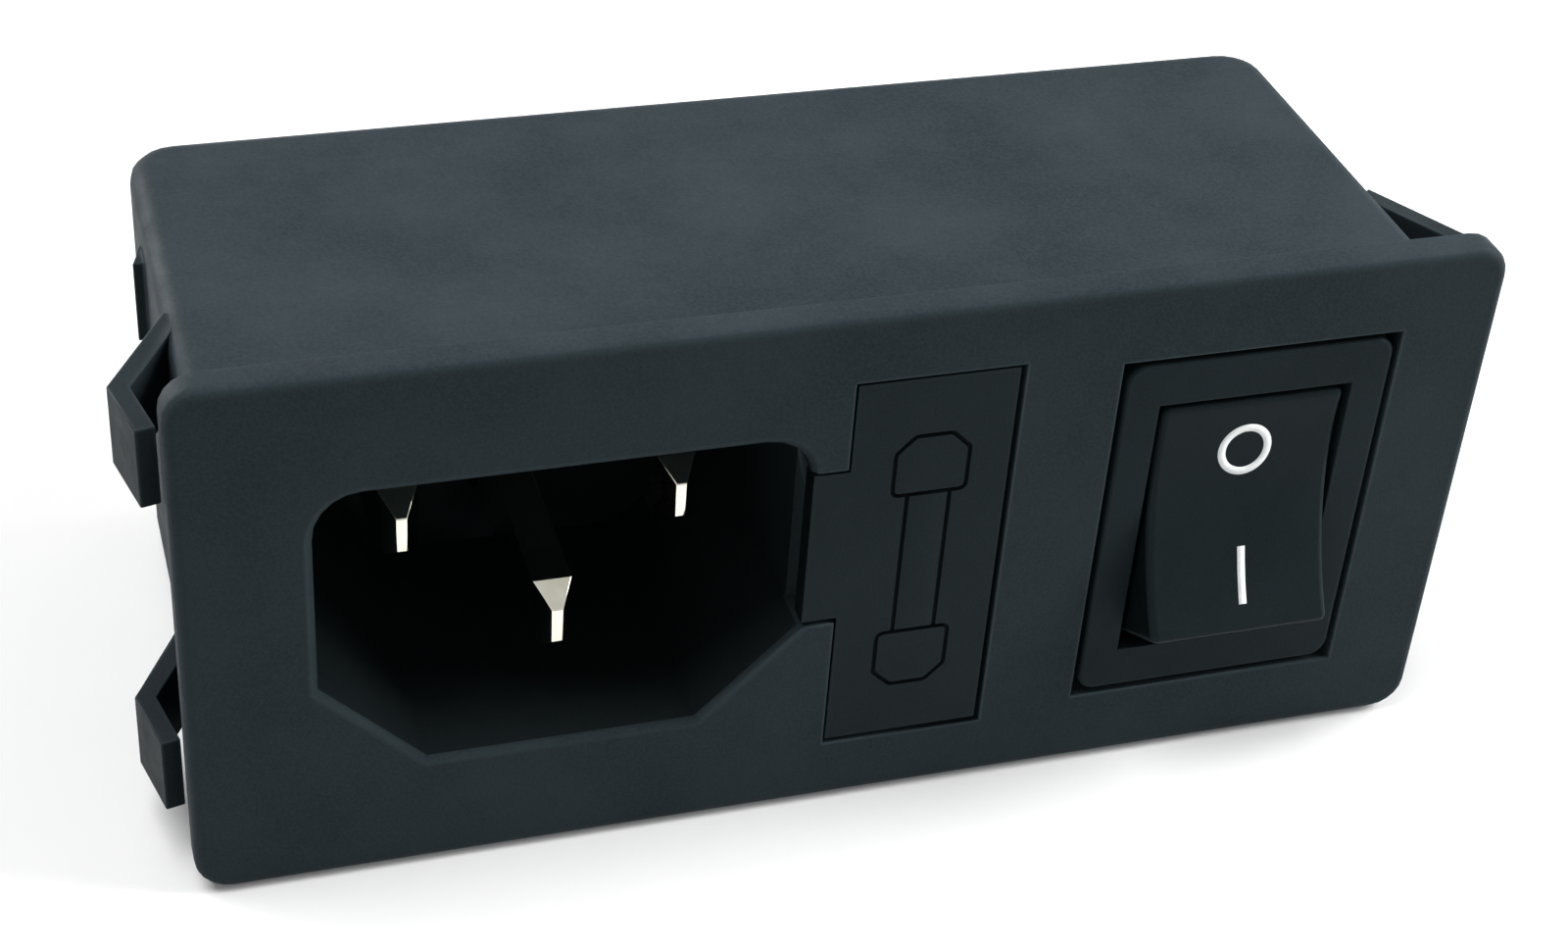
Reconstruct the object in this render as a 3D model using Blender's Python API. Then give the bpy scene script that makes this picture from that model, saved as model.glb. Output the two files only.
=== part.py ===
"""Power entry module: appliance inlet, fuse drawer and rocker switch in one snap-in unit.

The panel plane is y = 0 and the front faces -Y, with +Z up. Lengths are in metres.
The origin is the centre of the flange's back face. The rocker stands with O pressed in.
"""
import math

import bmesh
import bpy
from mathutils import Vector

MM = 0.001

# Clearance between neighbouring pieces, and the overlap of shapes that are joined
GAP = 0.3 * MM
JOIN = 0.2 * MM

# Flange and front frame
FLANGE_WIDTH = 66.2 * MM
FLANGE_HEIGHT = 29.8 * MM
FLANGE_THICKNESS = 1.8 * MM
FLANGE_CORNER = 1.8 * MM
FLANGE_EDGE = 0.6 * MM
BACK_PLATE = 1.4 * MM

# Rear shell
SHELL_WIDTH = 63.6 * MM
SHELL_DEPTH = 26.1 * MM
SHELL_WALL = 1.4 * MM
SHELL_REAR_WALL = 1.6 * MM
SHELL_CORNER = 2.4 * MM
SHELL_EDGE = 1.1 * MM
FUSE_END_SPACE = 0.35 * MM

# Snap arms: a bent strip, two on each side, and the stop tooth behind the upper one
ARM_THICKNESS = 1.0 * MM
ARM_HEIGHT = 4.3 * MM
ARM_FROM_EDGE = 0.35 * MM
ARM_ROOT_Y = 10.0 * MM
ARM_APEX_Y = 4.5 * MM
ARM_REACH = 2.6 * MM
ARM_TIP_REACH = 1.8 * MM
PANEL_THICKNESS = 0.9 * MM
TOOTH_Y = 18.2 * MM
TOOTH_LENGTH = 1.6 * MM
TOOTH_REACH = 0.6 * MM
TOOTH_TOP = 9.3 * MM
TOOTH_HEIGHT = 4.6 * MM

# Appliance inlet well
INLET_X = -14.75 * MM
INLET_WIDTH = 24.0 * MM
INLET_HEIGHT = 16.5 * MM
INLET_DEPTH = 17.0 * MM
INLET_CHAMFER = 5.2 * MM
INLET_ROUND = 2.4 * MM
INLET_LIP = 0.35 * MM
INLET_WALL = 1.5 * MM
INLET_FLOOR = 1.6 * MM

# Inlet blades
PIN_THICKNESS = 2.0 * MM
PIN_HEIGHT = 4.0 * MM
PIN_TIP_THICKNESS = 0.55 * MM
PIN_TIP_HEIGHT = 2.0 * MM
PIN_BEVEL = 1.3 * MM
PIN_SPACING = 14.0 * MM
PIN_LINE_Z = 1.7 * MM
PIN_EARTH_Z = -2.46 * MM
PIN_LINE_SETBACK = 5.16 * MM
PIN_EARTH_SETBACK = 1.83 * MM
PIN_COLLAR = 0.8 * MM
PIN_COLLAR_BRIM = 0.6 * MM

# Flat terminals
TAB_WIDTH = 4.8 * MM
TAB_THICKNESS = 0.8 * MM
TAB_LENGTH = 8.5 * MM
TAB_HOLE = 1.4 * MM
TAB_NOSE = 1.0 * MM

# Fuse drawer
DRAWER_X = 3.285 * MM
DRAWER_WIDTH = 8.0 * MM
DRAWER_COVER = 0.9 * MM
DRAWER_FACE = 1.2 * MM
TONGUE_TOP = 5.9 * MM
TONGUE_BOTTOM = -2.9 * MM
NAIL_SPACE = 1.5 * MM
RUNNER_THICKNESS = 0.6 * MM
RUNNER_LENGTH = 12.4 * MM
FUSE_WEB = 1.2 * MM
KEEPER_HEIGHT = 8.0 * MM
KEEPER_THICKNESS = 1.0 * MM
CHEEK_DEPTH = 13.5 * MM
CHEEK_WALL = 1.2 * MM

# Cartridge fuse, 5 x 20 mm, standing upright in the drawer
FUSE_LENGTH = 20.0 * MM
FUSE_CAP_DIAMETER = 5.2 * MM
FUSE_CAP_LENGTH = 5.0 * MM
FUSE_CAP_WALL = 0.2 * MM
FUSE_CAP_END = 0.4 * MM
FUSE_GLASS_WALL = 0.6 * MM
FUSE_WIRE_DIAMETER = 0.3 * MM
FUSE_Y = 5.5 * MM

# Fuse contacts: a strip whose front end bows towards the fuse cap
CONTACT_BOW = 3.2 * MM
CONTACT_BOW_START = -50.0
CONTACT_BOW_END = 45.0
LINK_THICKNESS = 0.8 * MM
LINK_WIDTH = 4.0 * MM

# Rocker switch: aperture in the flange, frame, rocker
SWITCH_X = 20.25 * MM
APERTURE_WIDTH = 15.06 * MM
APERTURE_HEIGHT = 21.08 * MM
BEZEL_THICKNESS = 1.3 * MM
BEZEL_CORNER = 1.0 * MM
BEZEL_EDGE = 0.15 * MM
WINDOW_WIDTH = 10.5 * MM
WINDOW_HEIGHT = 15.5 * MM
WINDOW_LIP = 0.8 * MM
POCKET_HEIGHT = 16.6 * MM
SWITCH_WALL = 1.3 * MM
SWITCH_DEPTH = 16.2 * MM
SWITCH_FLOOR = 1.2 * MM

ROCKER_TILT = 14.0
ROCKER_PIVOT_Y = 1.4 * MM
ROCKER_CHORD = 12.86 * MM
ROCKER_RISE = 4.9 * MM
ROCKER_HOLLOW = 1.2 * MM
ROCKER_SKIRT = 0.6 * MM
ROCKER_WALL = 1.2 * MM
ROCKER_LOBE = 2.4 * MM
TRUNNION_RADIUS = 1.2 * MM
TRUNNION_LENGTH = 1.2 * MM

# Contact mechanism, one set for each pole
POLE_SPACING = 5.4 * MM
PLUNGER_RADIUS = 0.9 * MM
PLUNGER_START = 2.0 * MM
PLUNGER_REACH = 6.5 * MM
BOSS_WALL = 0.65 * MM
BOSS_REACH = 4.0 * MM
SPRING_WIRE = 0.22 * MM
SPRING_TURNS = 5
LEVER_TILT = 7.0
LEVER_THICKNESS = 0.6 * MM
LEVER_LENGTH = 9.8 * MM
EAR_THICKNESS = 0.4 * MM
EAR_DEPTH = 1.4 * MM
EAR_LENGTH = 2.4 * MM
BUTTON_RADIUS = 0.8 * MM
BUTTON_THICKNESS = 0.5 * MM
BUTTON_Z = 4.2 * MM
SWITCH_TAB_Z = 4.4 * MM

ROUND_STEPS = 5
CIRCLE_STEPS = 24

# Worked out from the sizes above
FACE_Y = -FLANGE_THICKNESS
TAB_END_Y = SHELL_DEPTH + TAB_LENGTH
INLET_FLOOR_Y = FACE_Y + INLET_DEPTH
INLET_BACK_Y = INLET_FLOOR_Y + INLET_FLOOR
INLET_RIGHT = INLET_X + INLET_WIDTH / 2
COLLAR_Y = INLET_BACK_Y + GAP
STUB_END_Y = COLLAR_Y + PIN_COLLAR + GAP
LINE_X = INLET_X + PIN_SPACING / 2
NEUTRAL_X = INLET_X - PIN_SPACING / 2
FUSE_RADIUS = FUSE_CAP_DIAMETER / 2
CONTACT_Z = FUSE_LENGTH / 2 - FUSE_CAP_LENGTH
BAY_WIDTH = FUSE_CAP_DIAMETER + 2 * GAP
CARRIAGE_WIDTH = BAY_WIDTH + 2 * RUNNER_THICKNESS
DRAWER_BACK_Y = FACE_Y + DRAWER_FACE
DRAWER_HEIGHT = FUSE_LENGTH + 2 * DRAWER_COVER
SHELL_INNER_WIDTH = SHELL_WIDTH - 2 * SHELL_WALL
WELL_HEIGHT = INLET_HEIGHT + 2 * INLET_WALL
SWITCH_BOX_HEIGHT = POCKET_HEIGHT + 2 * SWITCH_WALL
SHELL_INNER_HEIGHT = max(FUSE_LENGTH + 2 * FUSE_END_SPACE, WELL_HEIGHT + 2 * GAP, SWITCH_BOX_HEIGHT + 2 * GAP)
SHELL_HEIGHT = SHELL_INNER_HEIGHT + 2 * SHELL_WALL
BEZEL_WIDTH = APERTURE_WIDTH - 2 * GAP
BEZEL_HEIGHT = APERTURE_HEIGHT - 2 * GAP
BEZEL_BACK_Y = FACE_Y + BEZEL_THICKNESS
SWITCH_FLOOR_Y = SWITCH_DEPTH - SWITCH_FLOOR
ROCKER_WIDTH = WINDOW_WIDTH - 2 * GAP
BOSS_BORE = PLUNGER_RADIUS + GAP
LEVER_PIVOT_Y = ROCKER_PIVOT_Y + PLUNGER_REACH + LEVER_THICKNESS + GAP
BUTTON_REST_Y = (LEVER_PIVOT_Y + BUTTON_THICKNESS * math.cos(math.radians(LEVER_TILT))
                 + (BUTTON_Z + BUTTON_RADIUS) * math.sin(math.radians(LEVER_TILT)))


# Materials

def material(name, colour, roughness, metallic=0.0, alpha=1.0):
    """Principled material with the piece's colour, roughness and metallic value."""
    made = bpy.data.materials.new(name)
    made.use_nodes = True
    shader = made.node_tree.nodes["Principled BSDF"]
    shader.inputs["Base Color"].default_value = (*colour, 1.0)
    shader.inputs["Roughness"].default_value = roughness
    shader.inputs["Metallic"].default_value = metallic
    shader.inputs["Alpha"].default_value = alpha
    return made


def make_materials():
    """Every finish on the module, by a plain name."""
    return {
        "frame": material("matte_black_frame", (0.022, 0.025, 0.027), 0.55),
        "shell": material("matte_black_shell", (0.024, 0.027, 0.029), 0.6),
        "drawer": material("matte_black_drawer", (0.022, 0.025, 0.026), 0.55),
        "bezel": material("black_switch_frame", (0.021, 0.024, 0.025), 0.5),
        "rocker": material("black_rocker", (0.016, 0.018, 0.019), 0.42),
        "blade": material("bright_nickel", (0.72, 0.68, 0.58), 0.25, 1.0),
        "brass": material("plated_brass", (0.70, 0.62, 0.42), 0.35, 1.0),
        "spring": material("spring_steel", (0.55, 0.55, 0.54), 0.3, 1.0),
        "cap": material("nickel_cap", (0.70, 0.69, 0.66), 0.25, 1.0),
        "glass": material("fuse_glass", (0.85, 0.9, 0.9), 0.05, 0.0, 0.35),
        "wire": material("fuse_element", (0.75, 0.74, 0.72), 0.3, 1.0),
        "plunger": material("pale_nylon", (0.72, 0.70, 0.64), 0.5),
    }


# Meshes and objects

def place(name, bm):
    """Link a new object that holds the bmesh, with its faces pointing out."""
    bmesh.ops.recalc_face_normals(bm, faces=bm.faces)
    mesh = bpy.data.meshes.new(name)
    bm.to_mesh(mesh)
    bm.free()
    made = bpy.data.objects.new(name, mesh)
    bpy.context.scene.collection.objects.link(made)
    return made


def loft(name, rings):
    """Closed solid through rings of points that match one by one."""
    bm = bmesh.new()
    loops = [[bm.verts.new(point) for point in ring] for ring in rings]
    count = len(loops[0])
    for near, far in zip(loops, loops[1:]):
        for i in range(count):
            j = (i + 1) % count
            bm.faces.new((near[i], near[j], far[j], far[i]))
    bm.faces.new(loops[0])
    bm.faces.new(loops[-1])
    return place(name, bm)


def prism(name, outline, axis, low, high):
    """Outline of two coordinates, in X, Y, Z order, swept along the third axis."""
    def lift(point, level):
        a, b = point
        return {"X": (level, a, b), "Y": (a, level, b), "Z": (a, b, level)}[axis]
    return loft(name, [[lift(p, low) for p in outline], [lift(p, high) for p in outline]])


def box(name, x, y, z):
    """Box between pairs of X, Y and Z limits."""
    outline = [(x[0], z[0]), (x[1], z[0]), (x[1], z[1]), (x[0], z[1])]
    return prism(name, outline, "Y", *y)


def span(centre, size):
    """Limits of a size about its centre."""
    return centre - size / 2, centre + size / 2


def combine(target, operation, *others):
    """Apply exact booleans with other objects, which are used up."""
    for other in others:
        step = target.modifiers.new("join", "BOOLEAN")
        step.operation = operation
        step.solver = "EXACT"
        step.object = other
        graph = bpy.context.evaluated_depsgraph_get()
        mesh = bpy.data.meshes.new_from_object(target.evaluated_get(graph))
        target.modifiers.clear()
        target.data = mesh
        bpy.data.objects.remove(other)
    return target


def join(target, *others):
    """Union of shapes moulded or stamped in one."""
    return combine(target, "UNION", *others)


def cut(target, *others):
    """Cut shapes away."""
    return combine(target, "DIFFERENCE", *others)


def finish(piece, finish_material, smooth=30.0):
    """Give a piece its one material and smooth its round faces."""
    piece.data.name = piece.name
    piece.data.materials.clear()
    piece.data.materials.append(finish_material)
    piece.data.shade_smooth()
    piece.data.set_sharp_from_angle(angle=math.radians(smooth))
    return piece


# Outlines

def arc(centre, radius, start, end, steps):
    """Points on an arc, angles in degrees."""
    turns = [math.radians(start + (end - start) * i / steps) for i in range(steps + 1)]
    return [(centre[0] + radius * math.cos(t), centre[1] + radius * math.sin(t)) for t in turns]


def circle(centre, radius, steps=CIRCLE_STEPS):
    """Points of a full circle."""
    return arc(centre, radius, 0.0, 360.0, steps)[:-1]


def rounded_box(centre, width, height, radius, steps=ROUND_STEPS):
    """Rectangle with four round corners."""
    half_w = width / 2 - radius
    half_h = height / 2 - radius
    points = []
    for sx, sz, start in ((1, 1, 0), (-1, 1, 90), (-1, -1, 180), (1, -1, 270)):
        corner = (centre[0] + sx * half_w, centre[1] + sz * half_h)
        points += arc(corner, radius, start, start + 90, steps)
    return points


def inlet_outline(grow=0.0):
    """Inlet opening: two round corners above, two 45 degree chamfers below."""
    half_w = INLET_WIDTH / 2 + grow
    half_h = INLET_HEIGHT / 2 + grow
    radius = INLET_ROUND + grow
    chamfer = INLET_CHAMFER + grow * (2 - math.sqrt(2))
    right = arc((INLET_X + half_w - radius, half_h - radius), radius, 0, 90, ROUND_STEPS)
    left = arc((INLET_X - half_w + radius, half_h - radius), radius, 90, 180, ROUND_STEPS)
    lower = [(INLET_X - half_w, chamfer - half_h), (INLET_X - half_w + chamfer, -half_h),
             (INLET_X + half_w - chamfer, -half_h), (INLET_X + half_w, chamfer - half_h)]
    return right + left + lower


def strip_outline(path, thickness):
    """Outline of a bent strip of even thickness about its middle line."""
    points = [Vector(p) for p in path]
    sides = []
    for i, point in enumerate(points):
        before = (point - points[i - 1]).normalized() if i else None
        after = (points[i + 1] - point).normalized() if i < len(points) - 1 else None
        ahead = ((before or after) + (after or before)).normalized()
        across = Vector((-ahead.y, ahead.x))
        reach = thickness / 2 / max(ahead.dot(after or before), 0.2)
        sides.append((point + across * reach, point - across * reach))
    return [tuple(s[0]) for s in sides] + [tuple(s[1]) for s in reversed(sides)]


def tab_outline(start, end, centre, width=TAB_WIDTH):
    """Flat terminal from start to end, with a narrowed nose."""
    half = width / 2
    nose = half - TAB_NOSE / 2
    return [(start, centre - half), (end - TAB_NOSE, centre - half), (end, centre - nose),
            (end, centre + nose), (end - TAB_NOSE, centre + half), (start, centre + half)]


def tab_hole(axis, through, centre):
    """Cutter for the hole near a terminal's end."""
    hole_y = TAB_END_Y - TAB_WIDTH / 2
    points = circle((hole_y, centre), TAB_HOLE / 2, 12)
    if axis == "Z":
        points = [(b, a) for a, b in points]
    return prism("hole", points, axis, through - TAB_THICKNESS, through + TAB_THICKNESS)


# Front frame and rear shell

def make_flange():
    """Flange plate with a rounded front edge."""
    rings = []
    edge_back = 0.25 * FLANGE_EDGE
    steps = [(0.0, edge_back), (-edge_back, 0.0)]
    for i in range(ROUND_STEPS):
        turn = math.radians(90 * i / (ROUND_STEPS - 1))
        inset = FLANGE_EDGE * (1 - math.cos(turn))
        steps.append((FACE_Y + FLANGE_EDGE * (1 - math.sin(turn)), inset))
    for y, inset in steps:
        outline = rounded_box((0, 0), FLANGE_WIDTH - 2 * inset, FLANGE_HEIGHT - 2 * inset,
                              FLANGE_CORNER - inset)
        rings.append([(x, y, z) for x, z in outline])
    return loft("front_frame", rings)


def make_inlet_walls():
    """Walls and floor of the inlet well, with the webs that brace them."""
    back = INLET_BACK_Y
    walls = prism("well", inlet_outline(INLET_WALL), "Y", -JOIN, back)
    web_width = INLET_WIDTH - 2 * INLET_CHAMFER
    web_height = SHELL_INNER_HEIGHT - 2 * GAP
    web = box("web", span(INLET_X, web_width), (-JOIN, back), span(0, web_height))
    return join(walls, web)


def inlet_cutter():
    """Inside of the well, widened at the lip."""
    levels = ((FACE_Y - JOIN, INLET_LIP + JOIN), (FACE_Y + INLET_LIP, 0.0), (INLET_FLOOR_Y, 0.0))
    return loft("well_inside", [[(x, y, z) for x, z in inlet_outline(g)] for y, g in levels])


def pin_slot(x, z):
    """Slot in the well floor for a blade."""
    return box("slot", span(x, PIN_THICKNESS + 2 * GAP), (INLET_FLOOR_Y - JOIN, INLET_BACK_Y + JOIN),
               span(z, PIN_HEIGHT + 2 * GAP))


def make_front_frame(look):
    """Flange, inlet well, drawer cheeks and switch aperture, moulded in one."""
    frame = make_flange()
    plate = box("plate", span(0, SHELL_INNER_WIDTH - 2 * GAP), (-JOIN, BACK_PLATE),
                span(0, SHELL_INNER_HEIGHT - 2 * GAP))
    slot_width = CARRIAGE_WIDTH + 2 * GAP
    slot_left, slot_right = span(DRAWER_X, slot_width)
    cheeks = box("cheeks", (INLET_RIGHT + JOIN, slot_right + CHEEK_WALL), (-JOIN, CHEEK_DEPTH),
                 span(0, SHELL_INNER_HEIGHT - 2 * GAP))
    join(frame, plate, make_inlet_walls(), cheeks)

    face_slot = box("face_slot", span(DRAWER_X, DRAWER_WIDTH + 2 * GAP),
                    (FACE_Y - JOIN, DRAWER_BACK_Y + GAP), span(0, DRAWER_HEIGHT + 2 * GAP))
    carriage_slot = box("carriage_slot", (slot_left, slot_right), (FACE_Y - JOIN, CHEEK_DEPTH + JOIN),
                        span(0, SHELL_INNER_HEIGHT))
    tongue_z = (TONGUE_BOTTOM - GAP, TONGUE_TOP + GAP)
    tongue_slot = box("tongue_slot", (INLET_RIGHT - INLET_LIP - JOIN, DRAWER_X),
                      (FACE_Y - JOIN, DRAWER_BACK_Y + NAIL_SPACE), tongue_z)
    aperture = box("aperture", span(SWITCH_X, APERTURE_WIDTH), (FACE_Y - JOIN, BEZEL_BACK_Y + GAP),
                   span(0, APERTURE_HEIGHT))
    switch_hole = box("switch_hole", span(SWITCH_X, WINDOW_WIDTH + 2 * (SWITCH_WALL + GAP)),
                      (FACE_Y - JOIN, BACK_PLATE + JOIN),
                      span(0, SWITCH_BOX_HEIGHT + 2 * GAP))
    slots = [pin_slot(LINE_X, PIN_LINE_Z), pin_slot(NEUTRAL_X, PIN_LINE_Z),
             pin_slot(INLET_X, PIN_EARTH_Z)]
    cut(frame, inlet_cutter(), *slots, face_slot, carriage_slot, tongue_slot, aperture, switch_hole)
    return finish(frame, look["frame"])


def make_shell_box():
    """Outer form of the rear shell, round at the rear corners and along its edges."""
    shell = box("rear_shell", span(0, SHELL_WIDTH), (GAP, SHELL_DEPTH), span(0, SHELL_HEIGHT))
    bm = bmesh.new()
    bm.from_mesh(shell.data)
    rear = SHELL_DEPTH - JOIN

    def middle(edge):
        return (edge.verts[0].co + edge.verts[1].co) / 2

    upright = [e for e in bm.edges if middle(e).y > rear and abs(middle(e).z) < JOIN]
    bmesh.ops.bevel(bm, geom=upright, offset=SHELL_CORNER, segments=ROUND_STEPS,
                    profile=0.5, affect="EDGES")
    limit = SHELL_HEIGHT / 2 - JOIN
    rims = [e for e in bm.edges if abs(middle(e).z) > limit and middle(e).y > GAP + JOIN]
    bmesh.ops.bevel(bm, geom=rims, offset=SHELL_EDGE, segments=3, profile=0.5, affect="EDGES")
    bm.to_mesh(shell.data)
    bm.free()
    return shell


def make_snap_arm(side, low, high):
    """Bent spring strip: out from the wall, then back in to the panel's rear face."""
    wall = SHELL_WIDTH / 2
    path = [(wall - ARM_THICKNESS / 2, ARM_ROOT_Y), (wall + ARM_REACH, ARM_APEX_Y),
            (wall + ARM_TIP_REACH, PANEL_THICKNESS)]
    outline = strip_outline(path, ARM_THICKNESS)
    return prism("arm", [(side * x, y) for x, y in outline], "Z", low, high)


def make_tooth(side):
    """Low wedge on the side wall behind the upper arm."""
    wall = SHELL_WIDTH / 2
    outline = [(wall - JOIN, TOOTH_Y), (wall + TOOTH_REACH, TOOTH_Y),
               (wall, TOOTH_Y + TOOTH_LENGTH), (wall - JOIN, TOOTH_Y + TOOTH_LENGTH)]
    return prism("tooth", [(side * x, y) for x, y in outline], "Z",
                 TOOTH_TOP - TOOTH_HEIGHT, TOOTH_TOP)


def terminal_places():
    """Centre, width and height of each terminal where it leaves the shell."""
    upright = (TAB_THICKNESS, TAB_WIDTH)
    level = (TAB_WIDTH, TAB_THICKNESS)
    places = [(NEUTRAL_X, PIN_LINE_Z, *upright), (INLET_X, PIN_EARTH_Z, *upright),
              (DRAWER_X, CONTACT_Z, *level)]
    for side in (-1, 1):
        for row in (-1, 1):
            places.append((pole_x(side), row * SWITCH_TAB_Z, *upright))
    return places


def make_rear_shell(look):
    """Box over the mechanism, open to the front, with the snap arms on its sides."""
    shell = make_shell_box()
    inside = box("inside", span(0, SHELL_INNER_WIDTH), (GAP - JOIN, SHELL_DEPTH - SHELL_REAR_WALL),
                 span(0, SHELL_INNER_HEIGHT))
    cut(shell, inside)
    top = SHELL_HEIGHT / 2 - ARM_FROM_EDGE
    for side in (-1, 1):
        join(shell, make_snap_arm(side, top - ARM_HEIGHT, top),
             make_snap_arm(side, -top, ARM_HEIGHT - top), make_tooth(side))
    for x, z, width, height in terminal_places():
        slot = box("slot", span(x, width + 2 * GAP),
                   (SHELL_DEPTH - SHELL_REAR_WALL - JOIN, SHELL_DEPTH + JOIN),
                   span(z, height + 2 * GAP))
        cut(shell, slot)
    return finish(shell, look["shell"])


# Inlet blades and their link to the fuse

def make_blade(name, x, z, setback, end_y, look):
    """Blade with a bevelled tip and a collar behind the well floor."""
    tip_y = FACE_Y + setback
    levels = ((tip_y, PIN_TIP_THICKNESS, PIN_TIP_HEIGHT),
              (tip_y + PIN_BEVEL, PIN_THICKNESS, PIN_HEIGHT),
              (COLLAR_Y + JOIN, PIN_THICKNESS, PIN_HEIGHT))
    rings = []
    for y, width, height in levels:
        left, right = span(x, width)
        low, high = span(z, height)
        rings.append([(left, y, low), (right, y, low), (right, y, high), (left, y, high)])
    blade = loft(name, rings)
    collar = box("collar", span(x, PIN_THICKNESS + 2 * PIN_COLLAR_BRIM),
                 (COLLAR_Y, COLLAR_Y + PIN_COLLAR), span(z, PIN_HEIGHT + 2 * PIN_COLLAR_BRIM))
    join(blade, collar)
    if end_y > STUB_END_Y:
        tab = prism("tab", tab_outline(COLLAR_Y + JOIN, end_y, z), "X", *span(x, TAB_THICKNESS))
        join(blade, tab)
        cut(blade, tab_hole("X", x, z))
    return finish(blade, look["blade"])


def make_fuse_contact(name, up, end_y, look):
    """Strip along Y whose front end bows towards the fuse cap."""
    bow_y = FUSE_Y + FUSE_RADIUS + GAP + TAB_THICKNESS / 2 + CONTACT_BOW
    bow_z = CONTACT_Z - CONTACT_BOW * math.sin(math.radians(CONTACT_BOW_START))
    bow = arc((bow_y, bow_z), -CONTACT_BOW, -CONTACT_BOW_START, -CONTACT_BOW_END, ROUND_STEPS * 2)
    nose = [(end_y - TAB_NOSE, CONTACT_Z)] + bow
    outline = strip_outline(nose, TAB_THICKNESS)
    strip = prism(name, [(y, up * z) for y, z in outline], "X", *span(DRAWER_X, TAB_WIDTH))
    flat = [(z, y) for y, z in tab_outline(end_y - 3 * TAB_NOSE, end_y, DRAWER_X)]
    low, high = sorted((up * (CONTACT_Z - TAB_THICKNESS / 2), up * (CONTACT_Z + TAB_THICKNESS / 2)))
    join(strip, prism("tab", flat, "Z", low, high))
    if end_y > SHELL_DEPTH:
        cut(strip, tab_hole("Z", up * CONTACT_Z, DRAWER_X))
    return finish(strip, look["brass"])


def make_line_link(look):
    """Flat bar that joins the line blade to the lower fuse contact."""
    start = Vector((LINE_X, PIN_LINE_Z))
    end = Vector((DRAWER_X, -CONTACT_Z))
    ahead = math.degrees(math.atan2(end.y - start.y, end.x - start.x))
    half = LINK_WIDTH / 2
    outline = arc(end, half, ahead - 90, ahead + 90, 8) + arc(start, half, ahead + 90, ahead + 270, 8)
    return finish(prism("line_link", outline, "Y", STUB_END_Y, STUB_END_Y + LINK_THICKNESS),
                  look["brass"])


# Fuse and its drawer

def make_fuse_drawer(look):
    """Front plate with its finger tongue, and the carriage that holds the fuse."""
    drawer = box("fuse_drawer", span(DRAWER_X, DRAWER_WIDTH), (FACE_Y, DRAWER_BACK_Y),
                 span(0, DRAWER_HEIGHT))
    tongue = box("tongue", (INLET_RIGHT, DRAWER_X), (FACE_Y, DRAWER_BACK_Y),
                 (TONGUE_BOTTOM, TONGUE_TOP))
    join(drawer, tongue)
    carriage_height = SHELL_INNER_HEIGHT - 2 * GAP
    left, right = span(DRAWER_X, CARRIAGE_WIDTH)
    start = DRAWER_BACK_Y - JOIN
    web_y = FUSE_Y - FUSE_RADIUS - GAP
    web = box("web", (left, right), (web_y - FUSE_WEB, web_y), span(0, carriage_height))
    runners = [box("runner", limits, (start, RUNNER_LENGTH), span(0, carriage_height))
               for limits in ((left, left + RUNNER_THICKNESS), (right - RUNNER_THICKNESS, right))]
    keeper_y = FUSE_Y + FUSE_RADIUS + GAP
    keeper = box("keeper", (left, right), (keeper_y, keeper_y + KEEPER_THICKNESS),
                 span(0, KEEPER_HEIGHT))
    join(drawer, *runners, web, keeper)
    return finish(drawer, look["drawer"])


def make_fuse(look):
    """Glass tube, two end caps and the wire between them."""
    axis = (DRAWER_X, FUSE_Y)
    half = FUSE_LENGTH / 2
    bore = FUSE_RADIUS - FUSE_CAP_WALL
    glass_radius = bore - GAP
    glass_half = half - FUSE_CAP_END - GAP
    tube = prism("fuse_tube", circle(axis, glass_radius), "Z", -glass_half, glass_half)
    inside = circle(axis, glass_radius - FUSE_GLASS_WALL)
    cut(tube, prism("bore", inside, "Z", -half, half))
    pieces = [finish(tube, look["glass"])]
    for name, side in (("fuse_cap_upper", 1), ("fuse_cap_lower", -1)):
        low, high = sorted((side * half, side * (half - FUSE_CAP_LENGTH)))
        cap = prism(name, circle(axis, FUSE_RADIUS), "Z", low, high)
        inner = sorted((side * (half - FUSE_CAP_END), side * (half - FUSE_CAP_LENGTH - JOIN)))
        cut(cap, prism("cap_inside", circle(axis, bore), "Z", *inner))
        pieces.append(finish(cap, look["cap"]))
    wire = prism("fuse_wire", circle(axis, FUSE_WIRE_DIAMETER / 2, 8), "Z", -glass_half, glass_half)
    pieces.append(finish(wire, look["wire"]))
    return pieces


# Rocker switch

def pole_x(side):
    """Middle plane of one pole."""
    return SWITCH_X + side * POLE_SPACING / 2


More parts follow.
